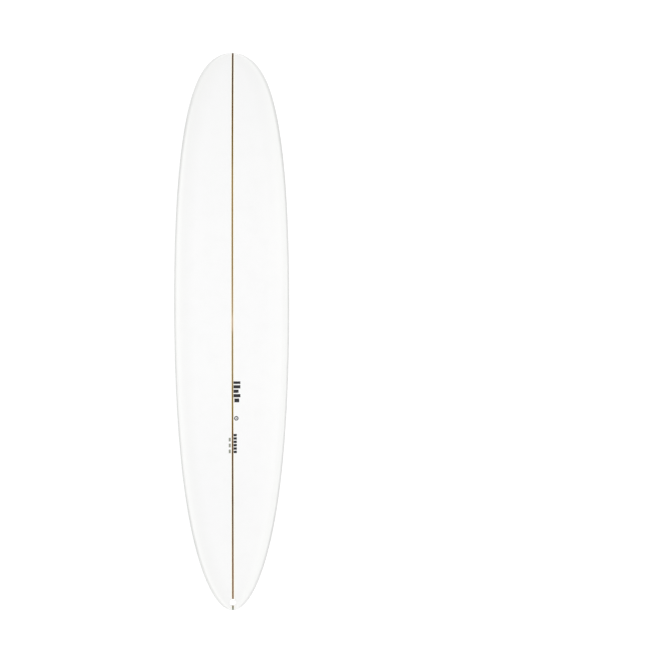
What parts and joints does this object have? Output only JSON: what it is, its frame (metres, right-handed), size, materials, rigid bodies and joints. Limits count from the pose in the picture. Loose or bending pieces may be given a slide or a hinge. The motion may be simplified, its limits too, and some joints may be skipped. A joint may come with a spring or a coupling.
{
  "type": "longboard surfboard",
  "caption": "White longboard surfboard with a round nose, rounded pin tail, wooden stringer, one long centre fin box, two side fin boxes and a leash plug.",
  "frame": {"origin": "under the middle of the board's length and width, level with the lowest point of the bottom", "axes": "+Z out of the deck, +Y from tail to nose, X across the board, with +X to the rider's right when facing the nose"},
  "size_m": [0.5714, 2.7428, 0.1367],
  "materials": {
    "foam": "matte",
    "stringer_wood": "satin",
    "laminate": "gloss",
    "box_plastic": "satin",
    "screw_steel": "satin",
    "print_dark": "gloss",
    "print_grey": "gloss"
  },
  "bodies": {
    "board": {"foam_blank_left": "foam", "foam_blank_right": "foam", "stringer": "stringer_wood", "deck_laminate": "laminate", "bottom_laminate": "laminate", "centre_fin_box": "box_plastic", "side_fin_box_left": "box_plastic", "side_fin_box_right": "box_plastic", "leash_cup": "box_plastic", "leash_bar": "box_plastic", "bottom_label": "print_dark", "deck_print": "print_grey"},
    "fin_plate": {"fin_plate": "screw_steel"},
    "fin_screw": {"fin_screw": "screw_steel"},
    "side_screw_left": {"side_fin_screw_left": "screw_steel"},
    "side_screw_right": {"side_fin_screw_right": "screw_steel"}
  },
  "joints": [
    {"name": "fin_plate_slide", "type": "slide", "parent": "board", "child": "fin_plate", "axis": [0, -0.997, 0.0778], "range_m": [0, 0.236]},
    {"name": "fin_screw_turn", "type": "hinge", "parent": "fin_plate", "child": "fin_screw", "pos_m": [0, -0.95695, 0.03254], "axis": [0, 0.0778, 0.997], "continuous": true},
    {"name": "side_screw_left_turn", "type": "hinge", "parent": "board", "child": "side_screw_left", "pos_m": [-0.17844, -0.81926, 0.02388], "axis": [-0.0187, -0.357, 0.9339], "continuous": true},
    {"name": "side_screw_right_turn", "type": "hinge", "parent": "board", "child": "side_screw_right", "pos_m": [0.17844, -0.81926, 0.02388], "axis": [0.0187, -0.357, 0.9339], "continuous": true}
  ]
}
